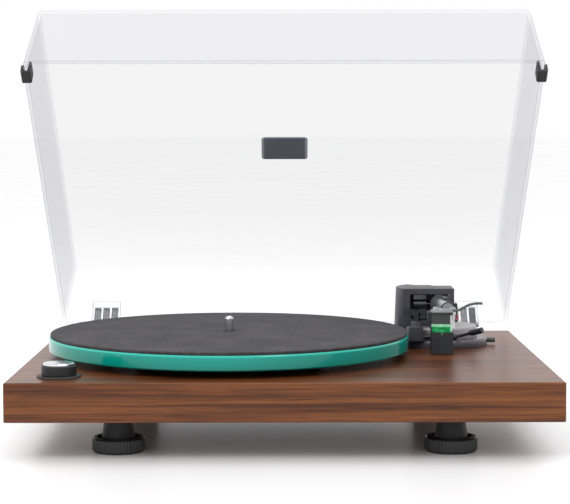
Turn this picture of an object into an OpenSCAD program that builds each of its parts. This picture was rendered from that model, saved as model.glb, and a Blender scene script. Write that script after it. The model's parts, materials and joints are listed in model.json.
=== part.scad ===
// Belt-driven turntable: wooden plinth, glass platter, pivoted tonearm and a
// hinged clear dust cover, shown open. Origin on the floor under the centre of
// the plinth, +X to the right, +Y to the back, +Z up, millimetres.

/* [Plinth] */
// Width of the plinth
plinth_w = 420; // [400:5:460]
// Depth of the plinth
plinth_d = 345; // [335:5:370]
// Thickness of the plinth
plinth_h = 30; // [28:1:40]
// Bevel along the plinth's edges
plinth_bevel = 0.8; // [0.3:0.1:2]

/* [Feet] */
// Height of the feet under the plinth
foot_h = 29; // [26:1:34]
// Distance of each foot from the centre line
foot_x = 128.2; // [110:0.1:150]
// Distance of each foot in front of or behind the centre
foot_y = 127.5; // [110:0.5:135]
// Radius of the knurled foot disc
foot_r = 20.5; // [18:0.5:24]
// Height of the knurled foot disc
foot_disc_h = 11.5; // [10:0.5:13]

/* [Platter] */
// Distance of the platter's axis to the left of the centre line
platter_x = -46.5; // [-50:0.5:-44]
// Distance of the platter's axis behind the plinth's centre
platter_y = -4.3; // [-8:0.1:0]
// Radius of the glass platter
platter_r = 150; // [148:1:151]
// Thickness of the glass platter
glass_t = 12; // [10:1:12]
// Gap between deck and glass platter
glass_gap = 5.75; // [5:0.25:7]
// Thickness of the felt mat
mat_t = 2.5; // [2:0.5:3]
// Radius of the record spindle
spindle_r = 3.55; // [3.5:0.05:3.6]
// Height of the record spindle above the mat
spindle_h = 12.5; // [10:0.5:14]

/* [Motor drive] */
// Radius of the belt track on the sub-platter
track_r = 75.6; // [72:0.9:80]
// Belt track radius divided by pulley radius
belt_ratio = 9; // [8:1:10]
// Distance from platter axis to motor axis
motor_reach = 100; // [98:1:106]
// Direction of the motor from the platter axis
motor_angle = 135; // [125:5:145]

/* [Speed knob] */
// Sideways position of the speed knob
knob_x = -172.5; // [-176:0.5:-170]
// Position of the speed knob from front to back
knob_y = -137.5; // [-140:0.5:-130]
// Radius of the speed knob
knob_r = 13.3; // [11:0.1:14]

/* [Dust cover] */
// Width of the cover along its rim
cover_rim_w = 416.5; // [410:0.5:418]
// Width of the cover across its top
cover_top_w = 405.5; // [400:0.5:408]
// Thickness of the clear walls
cover_wall = 3; // [2:0.5:4]
// Height of the cover from rim to top
cover_h = 68; // [66:1:80]
// Angle at which the cover stands open
cover_angle = 44.3; // [30:0.1:60]

/* [Tonearm] */
// Sideways position of the tonearm pivot
arm_x = 135.4; // [133:0.2:138]
// Position of the tonearm pivot from front to back
arm_y = 67.5; // [66:0.5:70]
// Height of the tilt axis above the deck
arm_h = 35.5; // [34:0.5:38]
// Direction of the parked arm, towards the platter
arm_heading = 2.7; // [1:0.1:3]
// Upward slope of the raised arm
arm_slope = 4.3; // [3:0.1:5]
// Radius of the arm tube
tube_r = 4.5; // [4:0.1:5]
// Distance from the pivot to the headshell's bend
bend_reach = 185.1; // [180:0.1:190]
// Angle of the headshell towards the platter
offset_angle = 12; // [10:0.1:22]

/* [Hidden] */
$fn = 64;
eps = 0.01;

deck_z = foot_h + plinth_h;
floor_z = foot_h;
front_y = -plinth_d / 2;
back_y = plinth_d / 2;
run_fit = 0.05;
gap = 0.45;

// Recess for the sub-platter and pulley, and the pockets underneath
recess_t = 6;
recess_z = deck_z - recess_t;
recess_r = track_r + 8;
recess_pulley_r = 20;
cover_plate_t = 2;
pocket_z = floor_z + cover_plate_t;
pocket_top_z = deck_z - 12;
motor_pocket_r = 32;
bay_x = [-78, 78];
bay_y = [100, back_y - 8];
bay_top_z = deck_z - 8;
switch_pocket = [34, 30];

// Platter stack
glass_z = deck_z + glass_gap;
mat_z = glass_z + glass_t;
mat_top_z = mat_z + mat_t;
shaft_r = 4;
bearing_r = 7;
bearing_flange_r = 15;
bearing_floor_z = floor_z + 6;
ball_r = 2.5;

// Motor and pulley
pulley_r = track_r / belt_ratio;
motor_x = platter_x + motor_reach * cos(motor_angle);
motor_y = platter_y + motor_reach * sin(motor_angle);
motor_shaft_r = 1.5;
belt_t = 0.6;
belt_z = [deck_z - 2.1, deck_z + 2.1];
belt_lift = 0.15;

// Clear cover, described closed and turned open about its hinge axis
rim_z = deck_z + 2.5;
cover_top_z = rim_z + cover_h;
rim_front_y = front_y + 3;
rim_back_y = back_y - 4;
cover_draft_y = 4.5;
hinge_y = back_y + 4;
hinge_z = deck_z - 2.5;
hinge_x = 168.9;
hinge_half_w = 13;
knuckle_r = 3.5;
knuckle_half_w = 7.4;
hinge_pin_r = 1.8;
prong_w = 6;
prong_pitch = 8;
prong_t = 3;
prong_y = rim_back_y + 3.1;

// Terminals in the rear panel, all at one height
terminal_z = floor_z + 13.5;
panel_t = 2;
panel_face_y = back_y + panel_t;
rca_x = [26, 42];
rca_r = 4.15;
rca_body_r = 3.9;
ground_x = 60;
dc_x = -52;
mode_x = -12;

// Tonearm base and its fittings
base_r = 42;
base_t = 7;
drum_r = 33;
drum_top = 17;
pivot_r = 5;
cowl_y = arm_y + 5;
cowl_r = 39.6;
cowl_top_r = 37.6;
cowl_top = 50;
cowl_wall = 2;
cowl_front_y = arm_y - 14;
cowl_right_x = arm_x + 12;
cowl_screen_y = [arm_y + 21.2, arm_y + 22.8];
tilt_pin_r = 2;
piston_x = 112.5;
piston_y = arm_y - 35;
lift_arc_r = 38;
lever_y = arm_y - 35.5;
lever_z = deck_z + 10;
rest_reach = 69;
rest_x = arm_x - rest_reach * tan(arm_heading);
rest_y = arm_y - rest_reach;
rest_z = deck_z + arm_h + 3.3;
ring_in_r = 7.3;
ring_out_r = 9.6;

// Headshell, seen from the bend in the arm's axis
plate_top = 0.5;
plate_t = 2.2;
plate_w = 16.5;
stylus_reach = 28.8;
bolt_reach = stylus_reach - 9.5;
bolt_half_pitch = 6.35;
stylus_drop = 19;
collar_r = 5.4;

// ---------- shared shapes ----------

module tube_z(r_out, r_in, h) {
    difference() {
        cylinder(r = r_out, h = h);
        translate([0, 0, -1]) cylinder(r = r_in, h = h + 2);
    }
}

module along_x(x0, x1, r) {
    translate([x0, 0, 0]) rotate([0, 90, 0]) cylinder(r = r, h = x1 - x0);
}

module along_y(y0, y1, r) {
    translate([0, y0, 0]) rotate([-90, 0, 0]) cylinder(r = r, h = y1 - y0);
}

module box(x, y, z) {
    translate([x[0], y[0], z[0]]) cube([x[1] - x[0], y[1] - y[0], z[1] - z[0]]);
}

module bevelled_rect(w, h, c) {
    polygon([[-w / 2 + c, -h / 2], [w / 2 - c, -h / 2], [w / 2, -h / 2 + c], [w / 2, h / 2 - c],
        [w / 2 - c, h / 2], [-w / 2 + c, h / 2], [-w / 2, h / 2 - c], [-w / 2, -h / 2 + c]]);
}

module bevelled_box(w, d, h, c) {
    intersection() {
        linear_extrude(h) bevelled_rect(w, d, c);
        translate([w / 2, 0, h / 2]) rotate([0, -90, 0]) linear_extrude(w) bevelled_rect(h, d, c);
        translate([0, d / 2, h / 2]) rotate([90, 0, 0]) linear_extrude(d) bevelled_rect(w, h, c);
    }
}

// Outline around two circles a distance apart along +X, with straight sides
// that touch the circles or, with a waist, cut into them
module belt_outline(r1, r2, reach, waist = 0) {
    a = acos((r1 - r2) / reach);
    p1 = (r1 - waist) * [cos(a), sin(a)];
    p2 = [reach, 0] + (r2 - waist) * [cos(a), sin(a)];
    circle(r = r1, $fn = 128);
    translate([reach, 0]) circle(r = r2);
    polygon([[p1[0], -p1[1]], [p2[0], -p2[1]], p2, p1]);
}

// Round bar swept along a list of points
module swept_bar(points, r, sides = 8) {
    n = len(points);
    dirs = [for (i = [0 : n - 1])
        let (d = points[min(i + 1, n - 1)] - points[max(i - 1, 0)]) d / norm(d)];
    ring = [for (i = [0 : n - 1])
        let (u = cross(dirs[i], [0, 0, 1]), s = u / norm(u), t = cross(s, dirs[i]))
        for (k = [0 : sides - 1])
            points[i] + r * (cos(k * 360 / sides) * s + sin(k * 360 / sides) * t)];
    walls = [for (i = [0 : n - 2]) for (k = [0 : sides - 1])
        [i * sides + k, i * sides + (k + 1) % sides,
         (i + 1) * sides + (k + 1) % sides, (i + 1) * sides + k]];
    start_cap = [[for (k = [0 : sides - 1]) sides - 1 - k]];
    end_cap = [[for (k = [0 : sides - 1]) (n - 1) * sides + k]];
    polyhedron(points = ring, faces = concat(walls, start_cap, end_cap), convexity = 4);
}

function bezier(a, b, c, d, t) =
    pow(1 - t, 3) * a + 3 * t * pow(1 - t, 2) * b + 3 * t * t * (1 - t) * c + pow(t, 3) * d;
function bezier_path(a, b, c, d, n) = [for (i = [0 : n]) bezier(a, b, c, d, i / n)];

module at_feet() {
    for (sx = [-1, 1]) for (sy = [-1, 1]) translate([sx * foot_x, sy * foot_y, 0]) children();
}

module at_platter(z) {
    translate([platter_x, platter_y, z]) children();
}

module at_motor(z) {
    translate([motor_x, motor_y, z]) children();
}

// ---------- plinth and what is fixed to it ----------

module recess_shape(z0, h) {
    at_platter(z0) rotate([0, 0, motor_angle]) linear_extrude(h)
        belt_outline(recess_r, recess_pulley_r, motor_reach, 2);
}

module plinth() {
    color("saddlebrown") difference() {
        translate([0, 0, floor_z]) bevelled_box(plinth_w, plinth_d, plinth_h, plinth_bevel);
        recess_shape(recess_z, recess_t + 1);
        at_platter(floor_z - 1) cylinder(r = bearing_r, h = plinth_h);
        at_motor(floor_z - 1) cylinder(r = motor_pocket_r, h = pocket_top_z - floor_z + 1);
        at_motor(floor_z) cylinder(r = 7, h = plinth_h);
        box(bay_x, bay_y, [floor_z - 1, bay_top_z]);
        box([bay_x[0] + 8, bay_x[1] - 8], [bay_y[1] - 1, back_y + 1], [terminal_z - 9, terminal_z + 8]);
        box([motor_x - 9, motor_x + 9], [motor_y, bay_y[0] + 20], [floor_z - 1, floor_z + 14]);
        box([motor_x - 9, bay_x[0] + 1], [bay_y[0], bay_y[0] + 20], [floor_z - 1, floor_z + 14]);
        translate([knob_x, knob_y, 0]) {
            box([-switch_pocket[0] / 2, switch_pocket[0] / 2],
                [-switch_pocket[1] / 2, switch_pocket[1] / 2], [floor_z - 1, pocket_top_z]);
            cylinder(r = 4.5, h = deck_z + 1);
        }
        translate([arm_x, arm_y, floor_z - 1]) cylinder(r = 10, h = plinth_h + 2);
        cover_recess();
        at_feet() translate([0, 0, floor_z - 1]) cylinder(r = 4, h = 19);
    }
}

cover_x = [-165, 100];
cover_y = [motor_y - 50, back_y - 6];

module cover_recess() {
    box(cover_x, cover_y, [floor_z - 1, pocket_z]);
}

module bottom_cover() {
    color("dimgray") difference() {
        box([cover_x[0] + 0.3, cover_x[1] - 0.3], [cover_y[0] + 0.3, cover_y[1] - 0.3],
            [floor_z, pocket_z]);
        for (p = cover_screw_places) translate([p[0], p[1], floor_z]) screw_seat();
        foot_clear();
    }
}

// Room for the rear left foot where the bottom cover passes it
module foot_clear() {
    translate([-foot_x, foot_y, floor_z - 1]) cylinder(r = 16, h = 5);
}

cover_screw_places = [[cover_x[0] + 8, cover_y[0] + 8], [cover_x[1] - 8, cover_y[0] + 8],
    [cover_x[0] + 8, cover_y[1] - 8], [cover_x[1] - 8, cover_y[1] - 8], [cover_x[1] - 8, 80]];

// Countersunk hole for a screw, its mouth at the origin
module screw_seat() {
    cylinder(r = 1.5, h = 9);
    cylinder(r1 = 3, r2 = 1.5, h = 1.6, $fn = 32);
}

// Countersunk screw: head at the origin, shank along +Z
module wood_screw(shank = 9) {
    cylinder(r = 1.5, h = shank);
    cylinder(r1 = 3, r2 = 1.5, h = 1.6, $fn = 32);
}

module wood_screws() {
    color("silver") {
        for (p = cover_screw_places) translate([p[0], p[1], floor_z]) wood_screw();
        for (x = [bay_x[0] + 2, bay_x[1] - 2])
            translate([x, panel_face_y, terminal_z + 9]) rotate([90, 0, 0]) wood_screw();
        at_motor(pocket_top_z - 2) for (a = [45, 225])
            rotate([0, 0, a]) translate([24, 0, 0]) wood_screw(7);
        for (sx = [-1, 1]) for (dx = [-8, 8])
            translate([sx * hinge_x + dx, back_y + 2.3, deck_z - 16]) rotate([90, 0, 0]) wood_screw();
    }
}

module terminal_panel() {
    color("black") difference() {
        box([bay_x[0] - 3, bay_x[1] + 3], [back_y, panel_face_y], [terminal_z - 12, terminal_z + 12]);
        for (x = rca_x) translate([x, 0, terminal_z]) along_y(back_y - 1, back_y + 4, rca_body_r);
        translate([ground_x, 0, terminal_z]) along_y(back_y - 1, back_y + 4, 2);
        translate([dc_x, 0, terminal_z]) along_y(back_y - 1, back_y + 4, 5);
        box([mode_x - 6, mode_x + 6], [back_y - 1, back_y + 4], [terminal_z - 2.5, terminal_z + 2.5]);
        for (x = [bay_x[0] + 2, bay_x[1] - 2])
            translate([x, panel_face_y, terminal_z + 9]) rotate([90, 0, 0]) screw_seat();
    }
}

module rca_sockets() {
    color("gold") for (x = rca_x) translate([x, 0, terminal_z]) difference() {
        union() {
            along_y(back_y - 7, panel_face_y, rca_body_r);
            along_y(panel_face_y, panel_face_y + 1.2, rca_r + 1.5);
            along_y(panel_face_y + 1.2, panel_face_y + 9.6, rca_r);
        }
        along_y(panel_face_y + 1, panel_face_y + 12, 1.6);
    }
}

module ground_post() {
    color("silver") translate([ground_x, 0, terminal_z]) {
        along_y(back_y - 6, panel_face_y + 9, 2);
        along_y(back_y - 6, back_y - 1, 4);
    }
}

module ground_nut() {
    color("gold") translate([ground_x, panel_face_y + 1, terminal_z]) rotate([-90, 0, 0])
        difference() {
            linear_extrude(6) knurl(5, 0.5, 20);
            translate([0, 0, -1]) cylinder(r = 2 + run_fit, h = 9);
        }
}

// Round outline with saw-tooth grip ribs
module knurl(r, depth, teeth) {
    polygon([for (i = [0 : 2 * teeth - 1])
        let (rr = r - (i % 2) * depth, a = i * 180 / teeth) [rr * cos(a), rr * sin(a)]]);
}

module dc_inlet() {
    color("black") translate([dc_x, 0, terminal_z]) {
        difference() {
            union() {
                along_y(back_y - 4, panel_face_y + 1, 5);
                box([-6, 6], [back_y - 14, back_y - 1], [-6, 6]);
            }
            along_y(back_y - 9, back_y + 9, 3);
        }
        along_y(back_y - 10, panel_face_y, 1);
    }
}

module mode_switch() {
    color("white") box([mode_x - 5.4, mode_x - 0.4], [back_y - 4, panel_face_y + 3],
        [terminal_z - 2, terminal_z + 2]);
}

module circuit_board() {
    color("darkgreen") {
        box([-70, 70], [bay_y[0] + 6, bay_y[1] - 4], [pocket_z + 3, pocket_z + 4.6]);
        box([mode_x - 10, mode_x + 10], [back_y - 14, back_y - 4.4], [pocket_z + 3, terminal_z + 6]);
        for (x = [-30, -18, 6]) translate([x, bay_y[0] + 18, pocket_z + 4]) cylinder(r = 4, h = 10);
        box([30, 50], [bay_y[0] + 12, bay_y[0] + 28], [pocket_z + 4, pocket_z + 8]);
        for (x = [-62, 62]) translate([x, bay_y[0] + 12, pocket_z]) cylinder(r = 2.5, h = 3.5);
    }
}

module motor() {
    color("gray") difference() {
        at_motor(pocket_z + 1) cylinder(r = 18, h = pocket_top_z - 3 - pocket_z);
        at_motor(pocket_z + 3) cylinder(r = motor_shaft_r + run_fit, h = 20);
    }
}

module motor_plate() {
    color("lightgray") difference() {
        at_motor(pocket_top_z - 2) rotate([0, 0, 45]) linear_extrude(2) bevelled_rect(58, 30, 6);
        at_motor(pocket_top_z - 3) cylinder(r = 5, h = 5);
        at_motor(pocket_top_z - 2) for (a = [45, 225]) rotate([0, 0, a]) translate([24, 0, 0])
            screw_seat();
    }
}

module drive_belt() {
    color("black") at_platter(belt_z[0]) rotate([0, 0, motor_angle])
        linear_extrude(belt_z[1] - belt_z[0]) difference() {
            belt_outline(track_r + belt_lift + belt_t, pulley_r + belt_lift + belt_t, motor_reach);
            belt_outline(track_r + belt_lift, pulley_r + belt_lift, motor_reach);
        }
}

module bearing_sleeve() {
    color("goldenrod") difference() {
        union() {
            at_platter(bearing_floor_z - 3) cylinder(r = bearing_r, h = recess_z - bearing_floor_z + 3);
            at_platter(recess_z) cylinder(r = bearing_flange_r, h = 2);
        }
        at_platter(bearing_floor_z) cylinder(r = shaft_r + 0.03, h = plinth_h);
    }
}

module thrust_ball() {
    color("silver") at_platter(bearing_floor_z + ball_r) sphere(r = ball_r);
}

module foot_necks() {
    color("black") at_feet() translate([0, 0, foot_disc_h - 1.8]) difference() {
        cylinder(r1 = 13, r2 = 10.5, h = foot_h - foot_disc_h + 1.8);
        translate([0, 0, -1]) cylinder(r = 4, h = foot_h);
    }
}

module foot_studs() {
    color("silver") at_feet() translate([0, 0, 4.5]) cylinder(r = 4, h = foot_h + 12);
}

// Knurled levelling disc with a raised lip around its hollow top
module foot_disc(x, y) {
    color("black") translate([x, y, 0]) difference() {
        union() {
            cylinder(r1 = foot_r - 1.2, r2 = foot_r - 0.6, h = 1.6);
            translate([0, 0, 1.6]) linear_extrude(foot_disc_h - 3) knurl(foot_r, 0.5, 48);
            translate([0, 0, foot_disc_h - 1.4]) cylinder(r1 = foot_r - 0.6, r2 = foot_r - 1.6, h = 1.4);
        }
        translate([0, 0, foot_disc_h - 2.4]) cylinder(r = 16.5, h = 5);
        translate([0, 0, 3.5]) cylinder(r = 4 + run_fit, h = 20);
    }
}

module foot_disc_front_left() {
    foot_disc(-foot_x, -foot_y);
}

module foot_disc_front_right() {
    foot_disc(foot_x, -foot_y);
}

module foot_disc_rear_left() {
    foot_disc(-foot_x, foot_y);
}

module foot_disc_rear_right() {
    foot_disc(foot_x, foot_y);
}

// ---------- speed knob ----------

module knob_flange() {
    color("black") translate([knob_x, knob_y, deck_z]) difference() {
        rotate_extrude() polygon([[0, 0], [17, 0], [17, 0.7], [16.3, 1.5], [0, 1.5]]);
        translate([0, 0, -1]) cylinder(r = 4.5, h = 4);
    }
}

module speed_switch() {
    color("dimgray") translate([knob_x, knob_y, pocket_top_z - 11]) difference() {
        box([-12, 12], [-11, 11], [0, 11]);
        translate([0, 0, 2]) cylinder(r = 3 + run_fit, h = 20);
    }
}

module speed_knob() {
    stem = deck_z - pocket_top_z + 8.5;
    color("black") translate([knob_x, knob_y, deck_z]) rotate_extrude() polygon([[0, -stem],
        [3, -stem], [3, 1.9], [knob_r, 1.9], [knob_r, 8.5], [knob_r - 0.8, 9.5], [0, 9.5]]);
}

module knob_cap() {
    color("silver") translate([knob_x, knob_y, deck_z + 9.5]) difference() {
        rotate_extrude()
            polygon([[0, 0], [knob_r - 1.2, 0], [knob_r - 1.2, 1], [knob_r - 2, 1.5], [0, 1.5]]);
        translate([-0.7, -knob_r, 1]) cube([1.4, 6, 1]);
    }
}

// ---------- dust cover ----------

// Shapes drawn closed inside this module stand open on the hinge
module opened() {
    translate([0, hinge_y, hinge_z]) rotate([-cover_angle, 0, 0])
        translate([0, -hinge_y, -hinge_z]) children();
}

// Drafted box with rounded corners, shrunk on every side by inset
module cover_block(inset, low) {
    r = 5 - inset;
    z_top = cover_top_z - inset - r;
    hull() for (sx = [-1, 1]) {
        for (y = [rim_front_y + inset + r, rim_back_y - inset - r])
            translate([sx * (cover_rim_w / 2 - inset - r), y, low]) cylinder(r = r, h = eps, $fn = 32);
        for (y = [rim_front_y + cover_draft_y + inset + r, rim_back_y - cover_draft_y - inset - r])
            translate([sx * (cover_top_w / 2 - inset - r), y, z_top]) sphere(r = r, $fn = 32);
    }
}

module dust_cover() {
    color([0.85, 0.87, 0.9, 0.3]) opened() {
        difference() {
            cover_block(0, rim_z);
            cover_block(cover_wall, rim_z - 1);
        }
        for (sx = [-1, 1]) translate([sx * hinge_x, 0, 0]) difference() {
            box([-hinge_half_w, hinge_half_w], [rim_back_y - 2.4, rim_back_y + 6.4],
                [rim_z + 0.6, rim_z + 25]);
            for (k = [-1 : 1]) box([k * prong_pitch - prong_w / 2, k * prong_pitch + prong_w / 2],
                [prong_y - prong_t / 2, prong_y + prong_t / 2], [rim_z, rim_z + 20.5]);
        }
    }
}

module lid_badge() {
    color("dimgray") opened() translate([0, 2.5, cover_top_z]) difference() {
        linear_extrude(1.5) bevelled_rect(41, 27, 1.5);
        translate([0, 0, 1.1]) linear_extrude(1) difference() {
            bevelled_rect(38, 24, 1);
            bevelled_rect(36, 22, 1);
        }
    }
}

// Rubber clips that straddle the side rims near the front
module lid_bumpers() {
    color("black") opened() for (sx = [-1, 1])
        translate([sx * (cover_rim_w / 2 - cover_wall / 2), rim_front_y + 10, 0])
            mirror([1 - sx, 0, 0]) rotate([-90, 0, 0]) linear_extrude(12)
                polygon([[-4.2, -rim_z + 1.2], [-3.2, -rim_z + 2.15], [3.2, -rim_z + 2.15],
                    [3.9, -rim_z + 1.2], [3.9, -rim_z - 5.5], [2.9, -rim_z - 6],
                    [1.5, -rim_z - 6], [1.5, -rim_z], [-1.5, -rim_z], [-2.3, -rim_z - 10],
                    [-3.9, -rim_z - 10], [-4.4, -rim_z - 8.6]]);
}

module lid_hinge(side) {
    color("dimgray") opened() translate([side * hinge_x, 0, 0]) difference() {
        union() {
            for (k = [-1 : 1]) box([k * prong_pitch - prong_w / 2, k * prong_pitch + prong_w / 2],
                [prong_y - prong_t / 2, prong_y + prong_t / 2], [rim_z, rim_z + 20]);
            box([-hinge_half_w, hinge_half_w], [rim_back_y + 0.5, back_y - 0.3],
                [deck_z + 0.6, rim_z + 0.5]);
            box([-knuckle_half_w, knuckle_half_w], [rim_back_y + 2, hinge_y],
                [deck_z + 0.6, rim_z + 0.5]);
            box([-knuckle_half_w, knuckle_half_w], [hinge_y - 2.8, hinge_y], [hinge_z, deck_z + 1]);
            translate([0, hinge_y, hinge_z]) along_x(-knuckle_half_w, knuckle_half_w, knuckle_r);
        }
        translate([0, hinge_y, hinge_z]) along_x(-20, 20, hinge_pin_r + run_fit);
    }
}

module lid_hinge_left() {
    lid_hinge(-1);
}

module lid_hinge_right() {
    lid_hinge(1);
}

module hinge_bracket(side) {
    color("dimgray") translate([side * hinge_x, 0, 0]) difference() {
        union() {
            box([-hinge_half_w, hinge_half_w], [back_y, back_y + 2.3], [deck_z - 24, hinge_z - 4.2]);
            for (sx = [-1, 1]) mirror([1 - sx, 0, 0]) {
                box([knuckle_half_w + 0.6, hinge_half_w], [back_y, hinge_y], [hinge_z - 8, hinge_z]);
                translate([0, hinge_y, hinge_z])
                    along_x(knuckle_half_w + 0.6, hinge_half_w, knuckle_r);
            }
        }
        translate([0, hinge_y, hinge_z]) along_x(-20, 20, hinge_pin_r);
        for (dx = [-8, 8]) translate([dx, back_y + 2.3, deck_z - 16]) rotate([90, 0, 0])
            screw_seat();
    }
}

module hinge_bracket_left() {
    hinge_bracket(-1);
}

module hinge_bracket_right() {
    hinge_bracket(1);
}

module hinge_pins() {
    color("silver") for (side = [-1, 1]) translate([side * hinge_x, hinge_y, hinge_z])
        along_x(-hinge_half_w, hinge_half_w, hinge_pin_r);
}

// ---------- platter and drive ----------

module sub_platter() {
    color([0.12, 0.12, 0.13]) at_platter(recess_z + 3.2) difference() {
        rotate_extrude($fn = 128) polygon([[0, 0], [20, 0], [20, 1.5], [track_r - 6, 1.5],
            [track_r - 6, 0.6], [track_r, 0.6], [track_r, 6], [track_r + 2, 6],
            [track_r + 2, glass_z - recess_z - 3.2], [0, glass_z - recess_z - 3.2]]);
        translate([0, 0, -1]) cylinder(r = shaft_r, h = 20);
    }
}

module spindle() {
    color("silver") {
        at_platter(bearing_floor_z + 2 * ball_r + 0.05)
            cylinder(r = shaft_r, h = glass_z - bearing_floor_z - 2 * ball_r - 0.05);
        at_platter(glass_z) cylinder(r = spindle_r - 0.25, h = mat_top_z - glass_z);
        at_platter(mat_top_z) rotate_extrude() polygon([[0, 0], [spindle_r, 0],
            [spindle_r, spindle_h - 2.4], [spindle_r - 0.5, spindle_h - 1.1],
            [spindle_r - 1.6, spindle_h - 0.3], [0, spindle_h]]);
    }
}

module glass_platter() {
    color([0.05, 0.6, 0.54]) at_platter(glass_z) difference() {
        rotate_extrude($fn = 256) polygon([[0, 0], [platter_r - 1, 0], [platter_r, 1],
            [platter_r, glass_t - 1], [platter_r - 1, glass_t], [0, glass_t]]);
        translate([0, 0, -1]) cylinder(r = spindle_r + 0.25, h = glass_t + 2);
    }
}

module felt_mat() {
    color([0.32, 0.31, 0.32]) at_platter(mat_z) difference() {
        cylinder(r = platter_r - 1, h = mat_t, $fn = 256);
        translate([0, 0, -1]) cylinder(r = spindle_r + 0.45, h = mat_t + 2);
    }
}

module motor_pulley() {
    color("silver") at_motor(recess_z + 1.8) difference() {
        rotate_extrude() polygon([[0, 0], [pulley_r + 1.2, 0], [pulley_r + 1.2, 0.8],
            [pulley_r, 1.4], [pulley_r, 6.8], [pulley_r + 1.2, 7.4], [pulley_r + 1.2, 8.2],
            [4, 8.2], [4, 9.6], [0, 9.6]]);
        translate([0, 0, -1]) cylinder(r = motor_shaft_r, h = 20);
    }
}

module motor_shaft() {
    color("silver") at_motor(pocket_z + 3.4) cylinder(r = motor_shaft_r, h = 29);
}

// ---------- tonearm base ----------

module at_arm(z) {
    translate([arm_x, arm_y, z]) children();
}

module arm_base() {
    color([0.2, 0.2, 0.21]) difference() {
        union() {
            at_arm(deck_z) rotate_extrude($fn = 96) polygon([[0, 0], [base_r, 0],
                [base_r, base_t - 1.5], [base_r - 1.5, base_t], [0, base_t]]);
            at_arm(floor_z + 8) cylinder(r = 10, h = plinth_h - 8);
            box([140.5, 143], [lever_y - 3, lever_y + 2.6], [deck_z + 3, lever_z + 3.2]);
        }
        at_arm(floor_z + 12) cylinder(r = pivot_r + run_fit, h = 60);
        translate([0, lever_y, lever_z]) along_x(130, 150, 1.5 + run_fit);
        translate([0, arm_y, deck_z + 3.6]) along_x(arm_x + 30, arm_x + 50, 1.2 + run_fit);
    }
}

module arm_drum() {
    color([0.62, 0.62, 0.63]) at_arm(deck_z + base_t) difference() {
        rotate_extrude($fn = 96) polygon([[0, 0], [drum_r, 0], [drum_r, drum_top - base_t - 1.2],
            [drum_r - 1.2, drum_top - base_t], [0, drum_top - base_t]]);
        translate([0, 0, -1]) cylinder(r = pivot_r + run_fit, h = 20);
        translate([-arm_x, -arm_y, -deck_z - base_t]) cowl_walls(0.01);
    }
}

// Drafted round body with a flat front, shrunk on every side but the right by inset
module cowl_solid(inset) {
    top = cowl_top - max(inset, 0);
    intersection() {
        translate([arm_x, cowl_y, deck_z]) rotate_extrude($fn = 96) polygon([[0, 0],
            [cowl_r - inset, 0], [cowl_top_r - inset, top], [0, top]]);
        box([arm_x - 60, cowl_right_x], [cowl_front_y + inset, arm_y + 60],
            [deck_z + (inset > 0 ? -1 : base_t), deck_z + cowl_top]);
    }
}

// Walls and roof of the cowl with a screen behind the pivot, thickened by grow
module cowl_walls(grow) {
    difference() {
        cowl_solid(-grow);
        difference() {
            cowl_solid(cowl_wall + grow);
            box([arm_x - 60, arm_x - 5 + grow], cowl_screen_y + [-grow, grow],
                [deck_z + (grow > 0 ? -1 : base_t), deck_z + 80]);
        }
        cowl_cut();
    }
}

module pivot_cowl() {
    color([0.25, 0.25, 0.27]) difference() {
        cowl_walls(0);
        cowl_notch();
    }
}

// The cowl is open towards the back and the right
module cowl_cut() {
    translate([arm_x, arm_y, deck_z - 1]) linear_extrude(80) polygon([[-24, 60], [-24, 28],
        [-18, 24], [-5, 24], [-5, 17], [60, 17], [60, 60]]);
}

notch_x = [arm_x - 26.2, arm_x + 8.6];
notch_low = 22;

module cowl_notch() {
    translate([0, cowl_front_y + cowl_wall + 6, deck_z]) rotate([90, 0, 0])
        linear_extrude(cowl_wall + 12) {
            translate([notch_x[0] + 5, notch_low + 5]) circle(r = 5);
            translate([notch_x[1] - 5, notch_low + 5]) circle(r = 5);
            translate([notch_x[0] + 5, notch_low])
                square([notch_x[1] - notch_x[0] - 10, 5 + eps]);
            translate([notch_x[0], notch_low + 5])
                square([notch_x[1] - notch_x[0], cowl_top - notch_low - 10]);
        }
}

module cue_housing() {
    color([0.22, 0.22, 0.23]) difference() {
        union() {
            box([106.5, 118.5], [piston_y - 6, piston_y + 6], [deck_z + base_t, deck_z + 19.5]);
            translate([piston_x, piston_y, deck_z + 19]) cylinder(r = 4, h = 5);
        }
        translate([piston_x, piston_y, deck_z + 9]) cylinder(r = 1.8 + run_fit, h = 30);
        translate([0, lever_y, lever_z]) along_x(114.8, 125, 1.5 + run_fit);
    }
}

module arm_rest_post() {
    color([0.16, 0.16, 0.17]) difference() {
        union() {
            box([122.5, 140.9], [rest_y - 6, rest_y + 6], [deck_z, rest_z - 10.8]);
            box([rest_x - 12.4, rest_x + 12.4], [rest_y - 4.5, rest_y + 6], [rest_z - 11.8, rest_z - 3.2]);
            box([rest_x + 6, rest_x + 12.4], [rest_y - 4.5, rest_y + 6], [rest_z - 4, rest_z + 4]);
        }
        translate([rest_x, 0, rest_z]) along_y(rest_y - 20, rest_y + 20, ring_out_r + 0.35);
    }
}

// Split ring around the parked tube, open to the left until it is turned
module arm_rest_ring() {
    color([0.3, 0.3, 0.32]) translate([rest_x, rest_y + 3, rest_z]) rotate([90, 0, 0]) {
        linear_extrude(11) difference() {
            circle(r = ring_out_r);
            circle(r = ring_in_r);
            polygon([[0, 0], 20 * [cos(88), sin(88)], 20 * [cos(120), sin(120)],
                20 * [cos(160), sin(160)], 20 * [cos(206), sin(206)]]);
        }
        rotate([0, 0, 62]) translate([ring_out_r - 0.6, -1.2, 8]) cube([4, 2.4, 3]);
    }
}

module height_lock_screw() {
    color("dimgray") translate([0, arm_y, deck_z + 3.6]) {
        along_x(arm_x + 32, arm_x + base_r + 1, 1.2);
        along_x(arm_x + base_r + 0.4, arm_x + base_r + 7, 2.2);
    }
}

// ---------- moving tonearm ----------

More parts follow.
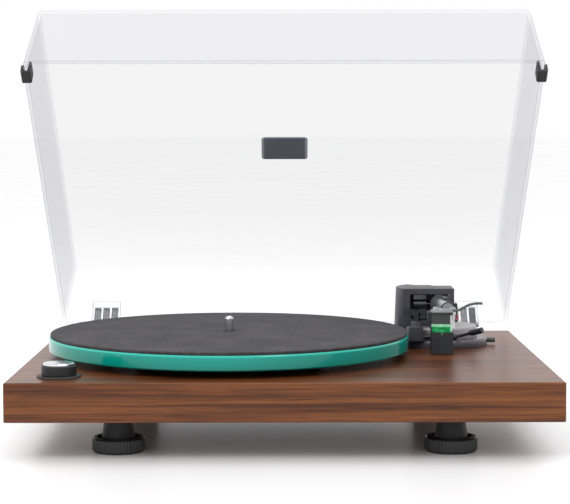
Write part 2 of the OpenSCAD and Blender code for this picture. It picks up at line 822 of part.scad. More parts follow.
// +X runs forward along the parked arm, +Y to the right, at the tilt axis
module arm_frame() {
    translate([arm_x, arm_y, deck_z + arm_h]) rotate([0, 0, -90 - arm_heading]) children();
}

module sloped() {
    arm_frame() rotate([0, -arm_slope, 0]) children();
}

module headshell_frame() {
    sloped() translate([bend_reach, 0, 0]) rotate([0, 0, -offset_angle]) children();
}

module gimbal_yoke() {
    base_low = drum_top - arm_h + 0.5;
    color([0.45, 0.45, 0.47]) arm_frame() difference() {
        union() {
            translate([0, 0, base_low]) cylinder(r = 11, h = 3.5);
            box([-4, 4], [-17, 0], [base_low, base_low + 3.5]);
            box([-4, 4], [-17, -11.4], [base_low, 0]);
            box([-4, 4], [-22.4, -11.4], [0, 8.2]);
            box([-3.5, 3.5], [8.8, 11.8], [base_low, 0]);
            along_y(-22.4, -11.4, 5.7);
            along_y(8.8, 11.8, 3.5);
            translate([0, 0, 14 - plinth_h - arm_h])
                cylinder(r = pivot_r, h = base_low - 14 + plinth_h + arm_h);
        }
        along_y(-20.4, 20, tilt_pin_r + run_fit);
    }
}

module pivot_hub() {
    color([0.3, 0.3, 0.32]) sloped() {
        difference() {
            union() {
                along_x(-12, 10, 8);
                along_x(10, 16, 6.4);
            }
            along_x(8, 17, tube_r);
        }
        along_x(-58, -11, 4);
        rotate([0, arm_slope, 0]) along_y(-20, 11.5, tilt_pin_r);
    }
}

module arm_tube() {
    color([0.75, 0.76, 0.78]) sloped() difference() {
        along_x(8, 179, tube_r);
        along_x(7, 180, tube_r - 0.8);
    }
}

module counterweight() {
    color([0.5, 0.5, 0.52]) sloped() rotate([0, 90, 0]) difference() {
        translate([0, 0, -52]) rotate_extrude($fn = 96) polygon([[0, 0], [13.5, 0], [15, 1.5],
            [15, 20], [14, 21], [0, 21]]);
        translate([0, 0, -60]) cylinder(r = 4 + run_fit, h = 40);
    }
}

module weight_dial() {
    color("black") sloped() difference() {
        along_x(-30.6, -24.6, 12.5);
        along_x(-33, -20, 4 + run_fit);
    }
}

module headshell_collar() {
    color("silver") sloped() difference() {
        union() {
            along_x(168, 182, collar_r);
            along_x(166.5, 168, collar_r - 0.4);
        }
        along_x(160, 190, tube_r + run_fit);
    }
}

module headshell() {
    color([0.16, 0.16, 0.17]) {
        sloped() difference() {
            along_x(179, bend_reach + 1, tube_r);
            along_x(178, 181, tube_r - 1.5);
        }
        headshell_frame() {
            translate([0, 0, plate_top - plate_t]) difference() {
                linear_extrude(plate_t) polygon([[0, -4.3], [2, -4.5], [12, -plate_w / 2],
                    [33, -plate_w / 2], [37.5, -5.5], [38.5, -2.5], [38.5, 2.5], [37.5, 5.5],
                    [33, plate_w / 2], [12, plate_w / 2], [2, 4.5], [0, 4.3]]);
                for (sy = [-1, 1]) translate([bolt_reach - 4, sy * bolt_half_pitch, -1])
                    box([0, 8], [-1.3, 1.3], [0, 5]);
            }
            box([-1, 5], [-4, 4], [plate_top - plate_t - 1.6, plate_top]);
        }
    }
}

module finger_lift() {
    a = [bolt_reach + 5, plate_w / 2 + 0.08, plate_top - 1.1];
    color("black") headshell_frame() swept_bar(bezier_path(a, a + [0, 8.5, 0],
        a + [-1, 7.5, 6.4], a + [-2.5, 21.5, 5.6], 14), 1.05, 10);
}

module cartridge() {
    top = plate_top - plate_t;
    color([0.08, 0.08, 0.09]) headshell_frame() difference() {
        union() {
            box([13, 26], [-8, 8], [top - 2.4, top]);
            box([10.5, 32], [-6.9, 6.9], [top - 8.7, top - 2.4 + eps]);
            box([10.5, 22], [-6.9, 6.9], [top - 12.5, top - 8.7 + eps]);
            for (sy = [-1, 1]) for (z = [-5, -9])
                translate([0, sy * 3, top + z]) along_x(7, 12, 0.6);
        }
        for (sy = [-1, 1]) translate([bolt_reach, sy * bolt_half_pitch, top - 6.5])
            cylinder(r = 1.25, h = 8);
    }
}

module stylus() {
    top = plate_top - plate_t;
    color([0, 0.6, 0.3]) headshell_frame() {
        rotate([90, 0, 0]) translate([0, 0, -7.2]) linear_extrude(14.4)
            polygon([[22.4, top - 8.9], [33, top - 8.9], [34, top - 11], [31, top - 15.2],
                [25, top - 14.6], [22.4, top - 12]]);
        swept_bar([[24.5, 0, top - 14], [26.6, 0, top - 15.6], [stylus_reach, 0, 0.4 - stylus_drop]],
            0.4, 6);
        translate([stylus_reach, 0, -stylus_drop]) cylinder(r1 = 0.1, r2 = 0.4, h = 1.2, $fn = 16);
    }
}

module cartridge_screws() {
    top = plate_top - plate_t;
    color("silver") headshell_frame() for (sy = [-1, 1])
        translate([bolt_reach, sy * bolt_half_pitch, 0]) {
            translate([0, 0, top - 6]) cylinder(r = 1.25, h = 7 + plate_t);
            translate([0, 0, plate_top]) cylinder(r = 2.2, h = 1.5);
        }
}

module cartridge_leads() {
    top = plate_top - plate_t;
    colours = ["crimson", "royalblue", "white", "seagreen"];
    headshell_frame() for (i = [0 : 3]) color(colours[i]) {
        sy = i % 2 == 0 ? 1 : -1;
        z = i < 2 ? -5 : -9;
        a = [0.8, sy * 2.6, -2.8 - (i < 2 ? 0 : 1.4)];
        b = [6.9, sy * 3, top + z];
        swept_bar(bezier_path(a, a + [1.5, sy * 8, -3], b + [-5, sy * 6, -2], b, 9), 0.55, 6);
    }
}

// ---------- cueing ----------

module cue_lever() {
    grip = [24.5, -17.5, 8.8];
    color([0.15, 0.15, 0.16]) translate([146, lever_y, lever_z]) {
        along_x(-31, 0, 1.5);
        rotate([0, 0, 90]) sphere(r = 2.6);
        direction(grip) {
            cylinder(r = 1.3, h = 18);
            translate([0, 0, 14.5]) cylinder(r1 = 1.7, r2 = 2.6, h = 3);
            translate([0, 0, 17.5]) cylinder(r = 2.6, h = 10.5);
        }
    }
}

// Turns +Z to point along a vector
module direction(v) {
    rotate([0, acos(v[2] / norm(v)), atan2(v[1], v[0])]) children();
}

module cue_lift() {
    top = arm_h + lift_arc_r * tan(arm_slope) - tube_r / cos(arm_slope) - gap;
    color([0.2, 0.2, 0.21]) {
        translate([piston_x, piston_y, deck_z + 13]) cylinder(r = 1.8, h = top - 16);
        at_arm(deck_z + top - 5) rotate([0, 0, -145]) rotate_extrude(angle = 58, $fn = 96)
            translate([lift_arc_r - 1.5, 0]) square([3, 5]);
        hull() {
            translate([piston_x, piston_y, deck_z + top - 5]) cylinder(r = 2.6, h = 2.5, $fn = 32);
            at_arm(deck_z + top - 5) rotate([0, 0, 180 + 57]) translate([lift_arc_r, 0, 0])
                cylinder(r = 1.4, h = 2.5, $fn = 32);
        }
    }
}

plinth();
bottom_cover();
wood_screws();
terminal_panel();
rca_sockets();
ground_post();
dc_inlet();
circuit_board();
motor();
motor_plate();
drive_belt();
bearing_sleeve();
thrust_ball();
foot_necks();
foot_studs();
knob_flange();
speed_switch();
arm_base();
arm_drum();
pivot_cowl();
cue_housing();
arm_rest_post();
hinge_bracket_left();
hinge_bracket_right();
hinge_pins();
dust_cover();
lid_badge();
lid_bumpers();
lid_hinge_left();
lid_hinge_right();
sub_platter();
spindle();
glass_platter();
felt_mat();
motor_pulley();
motor_shaft();
speed_knob();
knob_cap();
foot_disc_front_left();
foot_disc_front_right();
foot_disc_rear_left();
foot_disc_rear_right();
gimbal_yoke();
pivot_hub();
arm_tube();
counterweight();
weight_dial();
headshell();
headshell_collar();
finger_lift();
cartridge();
stylus();
cartridge_leads();
cartridge_screws();
cue_lever();
cue_lift();
arm_rest_ring();
height_lock_screw();
ground_nut();
mode_switch();
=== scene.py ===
import json
import math

import bpy
from mathutils import Matrix, Vector, noise


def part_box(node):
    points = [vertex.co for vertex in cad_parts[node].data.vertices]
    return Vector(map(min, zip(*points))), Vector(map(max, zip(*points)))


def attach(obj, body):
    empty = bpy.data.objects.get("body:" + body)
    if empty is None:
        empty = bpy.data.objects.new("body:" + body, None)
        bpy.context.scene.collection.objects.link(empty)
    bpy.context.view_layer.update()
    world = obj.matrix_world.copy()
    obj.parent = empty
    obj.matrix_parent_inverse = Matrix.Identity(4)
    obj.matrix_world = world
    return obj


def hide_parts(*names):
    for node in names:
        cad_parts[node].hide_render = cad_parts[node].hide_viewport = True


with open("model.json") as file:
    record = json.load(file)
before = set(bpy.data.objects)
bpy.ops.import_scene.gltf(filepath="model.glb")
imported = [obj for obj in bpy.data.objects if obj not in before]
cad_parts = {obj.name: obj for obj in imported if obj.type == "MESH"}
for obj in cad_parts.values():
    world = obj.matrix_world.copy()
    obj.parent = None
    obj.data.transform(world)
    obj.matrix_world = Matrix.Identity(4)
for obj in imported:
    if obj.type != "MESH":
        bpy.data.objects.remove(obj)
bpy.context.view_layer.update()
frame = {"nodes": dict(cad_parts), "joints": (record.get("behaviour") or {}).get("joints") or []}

nodes = frame["nodes"]
joints = {joint["name"]: joint for joint in frame["joints"]}
MM = 0.001
BADGE_BORDER_FROM = 18.2 * MM
# The headshell's bend, and its distance from the pivot along the arm
HEADSHELL_BEND = math.radians(12)
BEND_REACH = 185.1 * MM
ACRYLIC_CORNER_RADIUS = 1.3 * MM


# ---------- small helpers ----------

def centre(node):
    low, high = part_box(node)
    return (low + high) / 2


def joint_place(name):
    return Vector(joints[name]["pos_m"])


def joint_axis(name):
    return Vector(joints[name]["axis"]).normalized()


def srgb(red, green, blue):
    """A colour given as 0 to 255 screen values, as the shader's linear values."""
    def linear(c):
        c /= 255
        return c / 12.92 if c <= 0.04045 else ((c + 0.055) / 1.055) ** 2.4
    return (linear(red), linear(green), linear(blue), 1.0)


def add_mesh(name, points, faces, smooth=True):
    mesh = bpy.data.meshes.new(name)
    mesh.from_pydata([tuple(p) for p in points], [], faces)
    mesh.update()
    mesh.polygons.foreach_set("use_smooth", [smooth] * len(mesh.polygons))
    piece = bpy.data.objects.new(name, mesh)
    bpy.context.scene.collection.objects.link(piece)
    return piece


def turned(name, outline, place, axis=(0, 0, 1), segments=96):
    """Turns a closed outline of (radius, height) points about an axis through a place."""
    turn = Vector((0, 0, 1)).rotation_difference(Vector(axis)).to_matrix()
    count = len(outline)
    points = []
    for i in range(segments):
        angle = 2 * math.pi * i / segments
        for radius, height in outline:
            spoke = Vector((radius * math.cos(angle), radius * math.sin(angle), height))
            points.append(Vector(place) + turn @ spoke)
    faces = []
    for i in range(segments):
        a, b = i * count, (i + 1) % segments * count
        for k in range(count):
            n = (k + 1) % count
            faces.append((a + k, b + k, b + n, a + n))
    return add_mesh(name, points, faces)


def add_tube(name, points, radius):
    """A smooth round wire through a list of points."""
    curve = bpy.data.curves.new(name, "CURVE")
    curve.dimensions = "3D"
    curve.bevel_depth = radius
    curve.bevel_resolution = 4
    curve.use_fill_caps = True
    spline = curve.splines.new("NURBS")
    spline.points.add(len(points) - 1)
    for target, point in zip(spline.points, points):
        target.co = (*point, 1)
    spline.order_u = 4
    spline.use_endpoint_u = True
    spline.resolution_u = 6
    piece = bpy.data.objects.new(name, curve)
    bpy.context.scene.collection.objects.link(piece)
    return piece


def finish_piece(piece, body, look):
    piece.data.materials.append(look)
    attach(piece, body)
    return piece


def soften_edges(names, width, segments=2):
    """Rounds the sharp edges of CAD nodes a little, so that they catch the light."""
    for name in names:
        weld = nodes[name].modifiers.new("weld", "WELD")
        weld.merge_threshold = 1e-6
        flat = nodes[name].modifiers.new("flat faces", "DECIMATE")
        flat.decimate_type = "DISSOLVE"
        flat.angle_limit = math.radians(0.5)
        bevel = nodes[name].modifiers.new("soft edges", "BEVEL")
        bevel.width = width
        bevel.segments = segments
        bevel.limit_method = "ANGLE"
        bevel.angle_limit = math.radians(35)
        bevel.harden_normals = True


# ---------- materials ----------

SOCKETS = {
    "colour": "Base Color", "rough": "Roughness", "metal": "Metallic", "ior": "IOR",
    "transmission": "Transmission Weight", "coat": "Coat Weight",
    "coat_rough": "Coat Roughness", "sheen": "Sheen Weight", "sheen_rough": "Sheen Roughness",
    "specular": "Specular IOR Level", "normal": "Normal", "alpha": "Alpha",
}


class Look:
    """A procedural material: one Principled shader and short calls for what feeds it."""

    def __init__(self, name, **fixed):
        self.material = bpy.data.materials.new(name)
        self.material.use_nodes = True
        self.tree = self.material.node_tree
        self.shader = self.tree.nodes["Principled BSDF"]
        for key, value in fixed.items():
            self.shader.inputs[SOCKETS[key]].default_value = value
        coordinates = self.tree.nodes.new("ShaderNodeTexCoord")
        self.place = coordinates.outputs["Object"]
        self.facing = coordinates.outputs["Normal"]

    def feed(self, key, output):
        self.tree.links.new(output, self.shader.inputs[SOCKETS[key]])

    def put(self, node, key, value):
        if isinstance(value, bpy.types.NodeSocket):
            self.tree.links.new(value, node.inputs[key])
        else:
            node.inputs[key].default_value = value

    def stretch(self, scale, source=None, move=(0, 0, 0)):
        node = self.tree.nodes.new("ShaderNodeMapping")
        self.put(node, "Vector", source or self.place)
        self.put(node, "Location", move)
        self.put(node, "Scale", scale)
        return node.outputs["Vector"]

    def noise(self, vector, scale=1.0, detail=4.0, rough=0.55, distortion=0.0):
        node = self.tree.nodes.new("ShaderNodeTexNoise")
        self.put(node, "Vector", vector)
        self.put(node, "Scale", scale)
        self.put(node, "Detail", detail)
        self.put(node, "Roughness", rough)
        self.put(node, "Distortion", distortion)
        return node.outputs["Fac"]

    def cells(self, vector, scale=1.0, feature="F1"):
        node = self.tree.nodes.new("ShaderNodeTexVoronoi")
        node.feature = feature
        self.put(node, "Vector", vector)
        self.put(node, "Scale", scale)
        return node.outputs["Distance"]

    def ramp(self, factor, stops):
        node = self.tree.nodes.new("ShaderNodeValToRGB")
        self.put(node, "Fac", factor)
        elements = node.color_ramp.elements
        while len(elements) < len(stops):
            elements.new(0.5)
        for element, (at, colour) in zip(elements, stops):
            element.position = at
            element.color = colour if len(colour) == 4 else (*colour, 1)
        return node.outputs["Color"]

    def grey(self, factor, low, high, start=0.0, end=1.0):
        """A number that runs from low to high as the factor runs from start to end."""
        node = self.tree.nodes.new("ShaderNodeMapRange")
        self.put(node, "Value", factor)
        self.put(node, "From Min", start)
        self.put(node, "From Max", end)
        self.put(node, "To Min", low)
        self.put(node, "To Max", high)
        return node.outputs["Result"]

    def mix(self, factor, first, second, mode="MIX"):
        node = self.tree.nodes.new("ShaderNodeMix")
        node.data_type = "RGBA"
        node.blend_type = mode
        self.put(node, 0, factor)
        self.put(node, 6, first)
        self.put(node, 7, second)
        return node.outputs[2]

    def maths(self, operation, first, second=0.0):
        node = self.tree.nodes.new("ShaderNodeMath")
        node.operation = operation
        self.put(node, 0, first)
        self.put(node, 1, second)
        return node.outputs[0]

    def split(self, vector):
        node = self.tree.nodes.new("ShaderNodeSeparateXYZ")
        self.put(node, 0, vector)
        return node.outputs

    def bump(self, height, distance, strength=1.0):
        node = self.tree.nodes.new("ShaderNodeBump")
        self.put(node, "Height", height)
        self.put(node, "Distance", distance)
        self.put(node, "Strength", strength)
        self.feed("normal", node.outputs["Normal"])

    def radius_from(self, place, axis):
        """Distance of the shaded point from a line through a place, in metres."""
        towards = Vector((0, 0, 1)).rotation_difference(Vector(axis)).inverted().to_matrix()
        turned_place = towards @ Vector(place)
        node = self.tree.nodes.new("ShaderNodeMapping")
        self.put(node, "Vector", self.place)
        self.put(node, "Rotation", towards.to_euler())
        self.put(node, "Location", tuple(-turned_place))
        x, y = self.split(node.outputs["Vector"])[:2]
        return self.maths("SQRT", self.maths("ADD", self.maths("MULTIPLY", x, x),
                                             self.maths("MULTIPLY", y, y)))


def walnut():
    look = Look("walnut", coat=0.12, coat_rough=0.2, ior=1.45, specular=0.3)
    side = look.maths("GREATER_THAN", look.maths("ABSOLUTE", look.split(look.facing)[0]), 0.7)
    fine = look.mix(side, look.stretch((9, 420, 420)), look.stretch((420, 9, 420)))
    broad = look.mix(side, look.stretch((2.4, 52, 78)), look.stretch((52, 2.4, 78)))
    streaks = look.noise(fine, detail=7, rough=0.62, distortion=0.5)
    figure = look.noise(broad, detail=4, rough=0.5, distortion=1.4)
    pores = look.noise(look.mix(side, look.stretch((30, 1500, 1500)),
                                look.stretch((1500, 30, 1500))), detail=2)
    both = look.maths("ADD", look.maths("MULTIPLY", streaks, 0.45),
                      look.maths("MULTIPLY", figure, 0.55))
    wood = look.ramp(both, [
        (0.30, srgb(56, 26, 9)), (0.44, srgb(84, 43, 18)),
        (0.54, srgb(110, 61, 28)), (0.70, srgb(138, 84, 44))])
    dark = look.grey(pores, 0.55, 1.0, 0.36, 0.46)
    look.feed("colour", look.mix(1.0, wood, dark, "MULTIPLY"))
    look.feed("rough", look.grey(streaks, 0.26, 0.42))
    look.bump(look.maths("ADD", pores, streaks), 0.00003, 0.5)
    return look.material


def teal_glass():
    low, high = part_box("glass_platter")
    look = Look("teal_glass", ior=1.45, transmission=0.08, specular=0.3, coat=0.15, coat_rough=0.05)
    height = look.grey(look.split(look.place)[2], 0, 1, low.z, high.z)
    cloud = look.noise(look.stretch((9, 9, 3)), detail=3)
    # Colour by height: the lighter top edge is a painted highlight, and the darker bottom is
    # painted shade.
    painted_highlight_shade_ramp = look.ramp(height, [
        (0.0, srgb(0, 112, 98)), (0.16, srgb(2, 136, 120)),
        (0.8, srgb(8, 154, 138)), (1.0, srgb(60, 196, 178))])
    look.feed("colour", look.mix(look.grey(cloud, 0.0, 0.22), painted_highlight_shade_ramp, srgb(22, 178, 164)))
    look.feed("rough", look.grey(look.noise(look.stretch((700, 700, 700))), 0.05, 0.11))
    return look.material


def felt():
    look = Look("felt", sheen=0.08, sheen_rough=0.6, rough=0.98, specular=0.08)
    fibres = look.noise(look.stretch((1500, 1500, 1500)), detail=3, rough=0.7)
    tufts = look.noise(look.stretch((330, 330, 330)), detail=5, rough=0.75)
    patches = look.noise(look.stretch((26, 26, 26)), detail=3)
    tone = look.maths("ADD", look.maths("MULTIPLY", tufts, 0.62),
                      look.maths("MULTIPLY", patches, 0.38))
    cloth = look.ramp(tone, [
        (0.34, srgb(20, 20, 21)), (0.47, srgb(40, 39, 41)),
        (0.58, srgb(60, 58, 60)), (0.72, srgb(88, 85, 87))])
    look.feed("colour", look.mix(look.grey(fibres, 0.0, 0.35, 0.45, 0.7), cloth,
                                 srgb(128, 124, 128)))
    look.bump(look.maths("ADD", look.maths("MULTIPLY", fibres, 0.6), tufts), 0.0006, 0.8)
    return look.material


def clear_acrylic():
    look = Look("clear_acrylic", colour=srgb(132, 132, 150), ior=1.49)
    edge = look.tree.nodes.new("ShaderNodeLayerWeight")
    look.put(edge, "Blend", 0.3)
    grazing = look.grey(edge.outputs["Facing"], 0.06, 0.6, 0.4, 0.95)
    rounded = look.tree.nodes.new("ShaderNodeBevel")
    rounded.samples = 6
    look.put(rounded, "Radius", ACRYLIC_CORNER_RADIUS)
    agree = look.tree.nodes.new("ShaderNodeVectorMath")
    agree.operation = "DOT_PRODUCT"
    look.put(agree, 0, rounded.outputs["Normal"])
    look.put(agree, 1, look.tree.nodes.new("ShaderNodeNewGeometry").outputs["Normal"])
    corner = look.grey(agree.outputs["Value"], 0.75, 0.0, 0.8, 0.99)
    look.feed("alpha", look.maths("MAXIMUM", grazing, corner))
    look.feed("rough", look.grey(look.noise(look.stretch((16, 16, 16)), detail=3),
                                 0.02, 0.06, 0.35, 0.75))
    return look.material


def moulded(name, dark, light, rough=(0.38, 0.55), grain=0.00006, size=1600, **fixed):
    """Fine-grained moulded plastic, or paint over metal, with a mottled colour."""
    look = Look(name, **fixed)
    speckle = look.noise(look.stretch((size,) * 3), detail=2, rough=0.6)
    cloud = look.noise(look.stretch((60, 60, 60)), detail=4)
    look.feed("colour", look.mix(look.maths("MULTIPLY", speckle, cloud), dark, light))
    look.feed("rough", look.grey(cloud, *rough, 0.3, 0.7))
    look.bump(speckle, grain, 0.6)
    return look.material


def turned_metal(name, colour, joint_or_place, axis, rough=(0.16, 0.34), pitch=2600):
    """Metal with fine rings round its own axis, from the lathe."""
    look = Look(name, metal=1.0)
    radius = look.radius_from(joint_or_place, axis)
    ring = look.tree.nodes.new("ShaderNodeCombineXYZ")
    look.put(ring, 0, radius)
    rings = look.noise(look.stretch((pitch, 1, 1), ring.outputs[0]), detail=3)
    cloud = look.noise(look.stretch((90, 90, 90)), detail=3)
    shade = look.grey(cloud, 0.86, 1.0, 0.3, 0.7)
    look.feed("colour", look.mix(1.0, colour, shade, "MULTIPLY"))
    look.feed("rough", look.grey(rings, *rough, 0.3, 0.7))
    look.bump(rings, 0.000012, 0.6)
    return look.material


def drawn_metal(name, colour, stretch, rough=(0.2, 0.36)):
    """Metal with faint lines along the way it was drawn or brushed."""
    look = Look(name, metal=1.0)
    lines = look.noise(look.stretch(stretch), detail=4)
    cloud = look.noise(look.stretch((70, 70, 70)), detail=3)
    look.feed("colour", look.mix(1.0, colour, look.grey(cloud, 0.85, 1.0, 0.3, 0.7), "MULTIPLY"))
    look.feed("rough", look.grey(lines, *rough, 0.3, 0.7))
    look.bump(lines, 0.00001, 0.5)
    return look.material


def badge_look():
    look = Look("badge", metal=0.1)
    lines = look.noise(look.stretch((30, 2400, 2400)), detail=4)
    x = look.maths("ABSOLUTE", look.split(look.place)[0])
    frame_edge = look.maths("GREATER_THAN", x, BADGE_BORDER_FROM)
    plate = look.ramp(lines, [(0.3, srgb(84, 86, 94)), (0.7, srgb(120, 122, 132))])
    look.feed("colour", look.mix(frame_edge, plate, srgb(170, 172, 180)))
    look.feed("rough", look.grey(lines, 0.25, 0.42))
    return look.material


def circuit_green():
    look = Look("board", rough=0.4, coat=0.3)
    tracks = look.cells(look.stretch((160, 160, 4)), feature="DISTANCE_TO_EDGE")
    look.feed("colour", look.ramp(tracks, [
        (0.0, srgb(30, 120, 62)), (0.06, srgb(28, 112, 58)), (0.1, srgb(8, 62, 30))]))
    look.bump(tracks, 0.0001, 0.3)
    return look.material


def green_stylus():
    look = Look("stylus_green", rough=0.25, coat=0.4, transmission=0.15, ior=1.48)
    cloud = look.noise(look.stretch((220, 220, 220)), detail=3, distortion=0.6)
    look.feed("colour", look.ramp(cloud, [
        (0.3, srgb(0, 110, 58)), (0.5, srgb(2, 150, 80)), (0.7, srgb(60, 196, 128))]))
    look.bump(cloud, 0.00005, 0.4)
    return look.material


def insulation(name, colour):
    look = Look(name, coat=0.2)
    mottle = look.noise(look.stretch((900, 900, 900)), detail=2)
    look.feed("colour", look.mix(look.grey(mottle, 0.0, 0.35), colour, (0.02, 0.02, 0.02, 1)))
    look.feed("rough", look.grey(mottle, 0.3, 0.5))
    look.bump(mottle, 0.00003, 0.4)
    return look.material


def pale_floor():
    look = Look("floor", colour=(0.93, 0.93, 0.935, 1), rough=0.22, specular=0.45)
    look.feed("rough", look.grey(look.noise(look.stretch((3, 3, 3)), detail=3), 0.16, 0.28))
    return look.material


UP = (0, 0, 1)
ARM_AXIS = tuple(joint_axis("weight_turn"))
PIVOT = joint_place("arm_swing")

black = moulded("black_plastic", srgb(16, 16, 18), srgb(46, 46, 50))
rubber = moulded("foot_rubber", srgb(10, 10, 12), srgb(34, 35, 38), rough=(0.45, 0.7), size=1100)
foot_plastic = moulded("foot_plastic", srgb(14, 15, 18), srgb(44, 47, 52), rough=(0.28, 0.42))
charcoal = moulded("dark_plastic", srgb(44, 44, 52), srgb(86, 86, 98), rough=(0.34, 0.5))
hinge_plastic = moulded("hinge_plastic", srgb(104, 106, 112), srgb(160, 162, 170),
                        rough=(0.2, 0.35))
near_black = moulded("post_plastic", srgb(20, 23, 27), srgb(52, 58, 64), rough=(0.25, 0.4))
dark_metal = moulded("dark_metal", srgb(52, 50, 57), srgb(98, 95, 104), rough=(0.28, 0.42),
                     coat=0.3, coat_rough=0.2)
satin_grey = moulded("satin_grey", srgb(140, 138, 141), srgb(184, 182, 186),
                     rough=(0.3, 0.45), metal=0.3)
gimbal = drawn_metal("gimbal_metal", srgb(96, 97, 102), (300, 300, 2400))
steel = drawn_metal("screw_steel", srgb(190, 191, 196), (900, 900, 900), rough=(0.15, 0.32))
chrome = turned_metal("chrome", srgb(222, 223, 228), centre("knob_cap"), UP, rough=(0.05, 0.14))
collar = turned_metal("collar_dark", srgb(72, 72, 78), PIVOT, ARM_AXIS, rough=(0.2, 0.32))
tube = drawn_metal("arm_aluminium", srgb(198, 200, 205), (2200, 60, 2200))
weight = turned_metal("weight_dark", srgb(54, 54, 60), PIVOT, ARM_AXIS)
spindle = turned_metal("polished_steel", srgb(208, 209, 213), centre("spindle"), UP,
                       rough=(0.08, 0.2), pitch=5200)
gold = turned_metal("gold", srgb(226, 188, 106), centre("ground_nut"), (0, 1, 0))
brass = turned_metal("brass", srgb(204, 168, 92), centre("bearing_sleeve"), UP)
pulley = turned_metal("pulley_aluminium", srgb(196, 198, 202), joint_place("pulley_spin"), UP)
motor_steel = drawn_metal("motor_steel", srgb(160, 162, 166), (60, 60, 1800))
belt = moulded("belt_rubber", srgb(12, 12, 13), srgb(30, 30, 32), rough=(0.5, 0.65))
under_cover = moulded("black_steel", srgb(18, 18, 20), srgb(44, 44, 48), rough=(0.4, 0.6))
white_plastic = moulded("white_plastic", srgb(196, 196, 190), srgb(226, 226, 222))
shell_metal = moulded("headshell_metal", srgb(128, 128, 136), srgb(178, 177, 184),
                      rough=(0.22, 0.36), metal=0.5)
lift_metal = moulded("lift_metal", srgb(44, 50, 48), srgb(92, 100, 96), rough=(0.25, 0.4))
cartridge_black = moulded("cartridge_black", srgb(12, 14, 14), srgb(38, 42, 42),
                          rough=(0.14, 0.28), coat=0.5)
wood = walnut()
glass = teal_glass()
acrylic = clear_acrylic()
badge = badge_look()
board = circuit_green()
stylus_green = green_stylus()

LOOKS = {
    "plinth": wood, "bottom_cover": under_cover, "wood_screws": steel, "terminal_panel": black,
    "rca_sockets": gold, "ground_post": steel, "ground_nut": gold, "dc_inlet": black,
    "mode_switch": white_plastic, "circuit_board": board, "motor": motor_steel,
    "motor_plate": motor_steel, "drive_belt": belt, "bearing_sleeve": brass,
    "thrust_ball": steel, "foot_necks": rubber, "foot_studs": steel, "knob_flange": black,
    "speed_switch": black, "arm_base": dark_metal, "arm_drum": satin_grey,
    "pivot_cowl": charcoal, "cue_housing": charcoal, "arm_rest_post": near_black,
    "hinge_bracket_left": hinge_plastic, "hinge_bracket_right": hinge_plastic, "hinge_pins": steel,
    "dust_cover": acrylic, "lid_badge": badge, "lid_bumpers": rubber,
    "lid_hinge_left": hinge_plastic, "lid_hinge_right": hinge_plastic, "sub_platter": black,
    "spindle": spindle, "glass_platter": glass, "motor_pulley": pulley, "motor_shaft": steel,
    "speed_knob": black, "knob_cap": chrome, "foot_disc_front_left": foot_plastic,
    "foot_disc_front_right": foot_plastic, "foot_disc_rear_left": foot_plastic,
    "foot_disc_rear_right": foot_plastic, "gimbal_yoke": gimbal, "pivot_hub": gimbal,
    "arm_tube": tube, "counterweight": weight, "weight_dial": black,
    "headshell": shell_metal, "headshell_collar": collar, "finger_lift": lift_metal,
    "cartridge": cartridge_black, "stylus": stylus_green, "cartridge_screws": steel,
    "cue_lever": near_black, "cue_lift": near_black, "arm_rest_ring": charcoal,
    "height_lock_screw": lift_metal,
}

for name, look in LOOKS.items():
    for slot in nodes[name].material_slots:
        slot.material = look

soften_edges(["pivot_cowl", "cue_housing", "arm_rest_post"], 0.5 * MM)
soften_edges(["cartridge", "headshell", "arm_drum", "arm_base"], 0.3 * MM)


# ---------- pieces that add what the CAD leaves plain ----------

def felt_disc():
    """The felt mat: a cut disc with soft edges, laid on the glass."""
    low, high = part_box("felt_mat")
    middle = (low + high) / 2
    outer, hole, thick = (high.x - low.x) / 2, 4.0 * MM, high.z - low.z
    soft = thick * 0.35
    rings = 34
    top = [(hole + (outer - soft - hole) * i / rings, thick) for i in range(rings + 1)]
    corner = [(outer - soft + soft * math.sin(a), thick - soft + soft * math.cos(a))
              for a in (math.radians(d) for d in (30, 60, 90))]
    under = [(outer, 0.3 * thick), (outer - 0.3 * MM, 0), (hole, 0)]
    mat = turned("felt_disc", top + corner + under, (middle.x, middle.y, low.z), segments=256)
    for vertex in mat.data.vertices:
        spread = vertex.co - Vector((middle.x, middle.y, low.z))
        reach = math.hypot(spread.x, spread.y)
        wave = noise.noise(vertex.co * 60) * 0.06 * MM + noise.noise(vertex.co * 420) * 0.03 * MM
        if spread.z > 0.5 * thick and reach < outer - 2 * soft:
            vertex.co.z += wave - 0.09 * MM
        if reach > outer - soft:
            ragged = 1 + (noise.noise(vertex.co * 900) - 1) * 0.0008
            vertex.co.x = middle.x + spread.x * ragged
            vertex.co.y = middle.y + spread.y * ragged
    finish_piece(mat, "platter", felt())
    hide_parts("felt_mat")


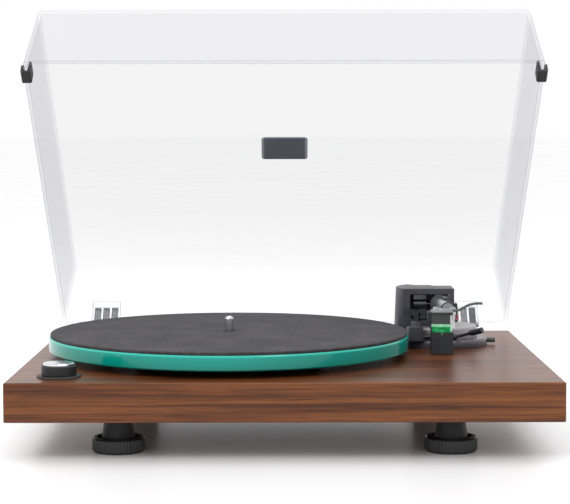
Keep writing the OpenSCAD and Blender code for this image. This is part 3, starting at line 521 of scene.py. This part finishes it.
def cartridge_wires():
    """Four thin leads from the headshell's end to the cartridge's pins, with pin clips."""
    ahead = joint_axis("collar_turn")
    ahead = Matrix.Rotation(-HEADSHELL_BEND, 3, "Z") @ ahead
    right = Vector(UP).cross(ahead).normalized()
    up = ahead.cross(right).normalized()
    bend = PIVOT + joint_axis("collar_turn") * BEND_REACH

    def at(x, y, z):
        return bend + (ahead * x + right * y + up * z) * MM

    colours = [srgb(186, 22, 52), srgb(40, 74, 190), srgb(232, 230, 226), srgb(20, 150, 80)]
    names = ["lead_red", "lead_blue", "lead_white", "lead_green"]
    for i, (name, colour) in enumerate(zip(names, colours)):
        side = 1 if i % 2 == 0 else -1
        pin = (6.9, side * 3, -1.7 - (5 if i < 2 else 9))
        root = (0.8, side * 2.6, -2.8 - (0 if i < 2 else 1.4))
        stops = [root, (root[0] + 1.5, root[1] + side * 8, root[2] - 3),
                 (pin[0] - 5, pin[1] + side * 6, pin[2] - 2), pin]
        wire = add_tube(name, [at(*p) for p in stops], 0.5 * MM)
        finish_piece(wire, "arm", insulation(name, colour))
        clip = turned(name + "_clip", [(0.62 * MM, 0), (0.95 * MM, 0.2 * MM),
                                       (0.95 * MM, 2.8 * MM), (0.62 * MM, 3 * MM)],
                      at(pin[0] - 0.6, pin[1], pin[2]), ahead, 20)
        finish_piece(clip, "arm", gold)
        if i == 0:
            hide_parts("cartridge_leads")


def knob_ribs():
    """Fine upright grip ribs round the speed knob."""
    low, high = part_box("speed_knob")
    middle = centre("speed_knob")
    radius = (high.x - low.x) / 2
    count, bottom, top = 60, high.z - 6.6 * MM, high.z - 1.4 * MM
    points, faces = [], []
    for i in range(count):
        for step, reach in ((-0.3, -0.2), (0, 0.0), (0.3, -0.2)):
            angle = 2 * math.pi * (i + step) / count
            for z in (bottom, top):
                points.append((middle.x + (radius + reach * MM) * math.cos(angle),
                               middle.y + (radius + reach * MM) * math.sin(angle), z))
        a = i * 6
        faces += [(a, a + 2, a + 3, a + 1), (a + 2, a + 4, a + 5, a + 3),
                  (a, a + 4, a + 2), (a + 1, a + 3, a + 5), (a, a + 1, a + 5, a + 4)]
    finish_piece(add_mesh("knob_ribs", points, faces, False), "selector", black)


def socket_inserts():
    """Coloured insulating rings in the two phono sockets."""
    low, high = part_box("rca_sockets")
    y = high.y
    middle = centre("rca_sockets")
    spread = (high.x - low.x) / 2 - 5.65 * MM
    for name, side, colour in (("insert_white", -1, srgb(228, 226, 220)),
                               ("insert_red", 1, srgb(178, 24, 30))):
        place = (middle.x + side * spread, y - 1.2 * MM, middle.z)
        ring = turned(name, [(1.7 * MM, 0), (3.3 * MM, 0), (3.3 * MM, 1.1 * MM),
                             (2.9 * MM, 1.2 * MM), (1.9 * MM, 1.2 * MM), (1.7 * MM, 1 * MM)],
                      place, (0, 1, 0), 48)
        finish_piece(ring, "base", insulation(name, colour))


felt_disc()
cartridge_wires()
knob_ribs()
socket_inserts()


# ---------- stage, light and camera ----------

def stage():
    size = 60.0
    floor = add_mesh("floor", [(-size, -size, 0), (size, -size, 0), (size, size, 0),
                               (-size, size, 0)], [(0, 1, 2, 3)], False)
    floor.data.materials.append(pale_floor())


def soft_light(name, place, target, size, power, colour=(1, 1, 1)):
    data = bpy.data.lights.new(name, "AREA")
    data.shape = "RECTANGLE"
    data.size, data.size_y = size
    data.energy = power
    data.color = colour
    lamp = bpy.data.objects.new(name, data)
    lamp.location = place
    lamp.rotation_euler = (Vector(target) - Vector(place)).to_track_quat("-Z", "Y").to_euler()
    bpy.context.scene.collection.objects.link(lamp)


def studio():
    world = bpy.data.worlds.new("studio")
    world.use_nodes = True
    world.node_tree.nodes["Background"].inputs["Color"].default_value = (1, 1, 1, 1)
    world.node_tree.nodes["Background"].inputs["Strength"].default_value = 1.0
    bpy.context.scene.world = world
    soft_light("key", (-1.3, -1.5, 1.9), (0, 0, 0.05), (1.4, 1.0), 26)
    soft_light("top", (0.2, 0.4, 2.2), (0, 0, 0.05), (1.6, 1.2), 16)
    bpy.context.scene.view_settings.view_transform = "Standard"


def camera():
    data = bpy.data.cameras.new("camera")
    data.lens = 112.04
    data.sensor_width = 36
    view = bpy.data.objects.new("camera", data)
    yaw, pitch, roll = math.radians(0.064), math.radians(-3.906), math.radians(-0.112)
    turn = (Matrix.Rotation(yaw, 4, "Z") @ Matrix.Rotation(math.pi / 2 + pitch, 4, "X")
            @ Matrix.Rotation(roll, 4, "Z"))
    view.matrix_world = Matrix.Translation((0.00195, -1.48365, 0.24617)) @ turn
    bpy.context.scene.collection.objects.link(view)
    bpy.context.scene.camera = view


stage()
studio()
camera()
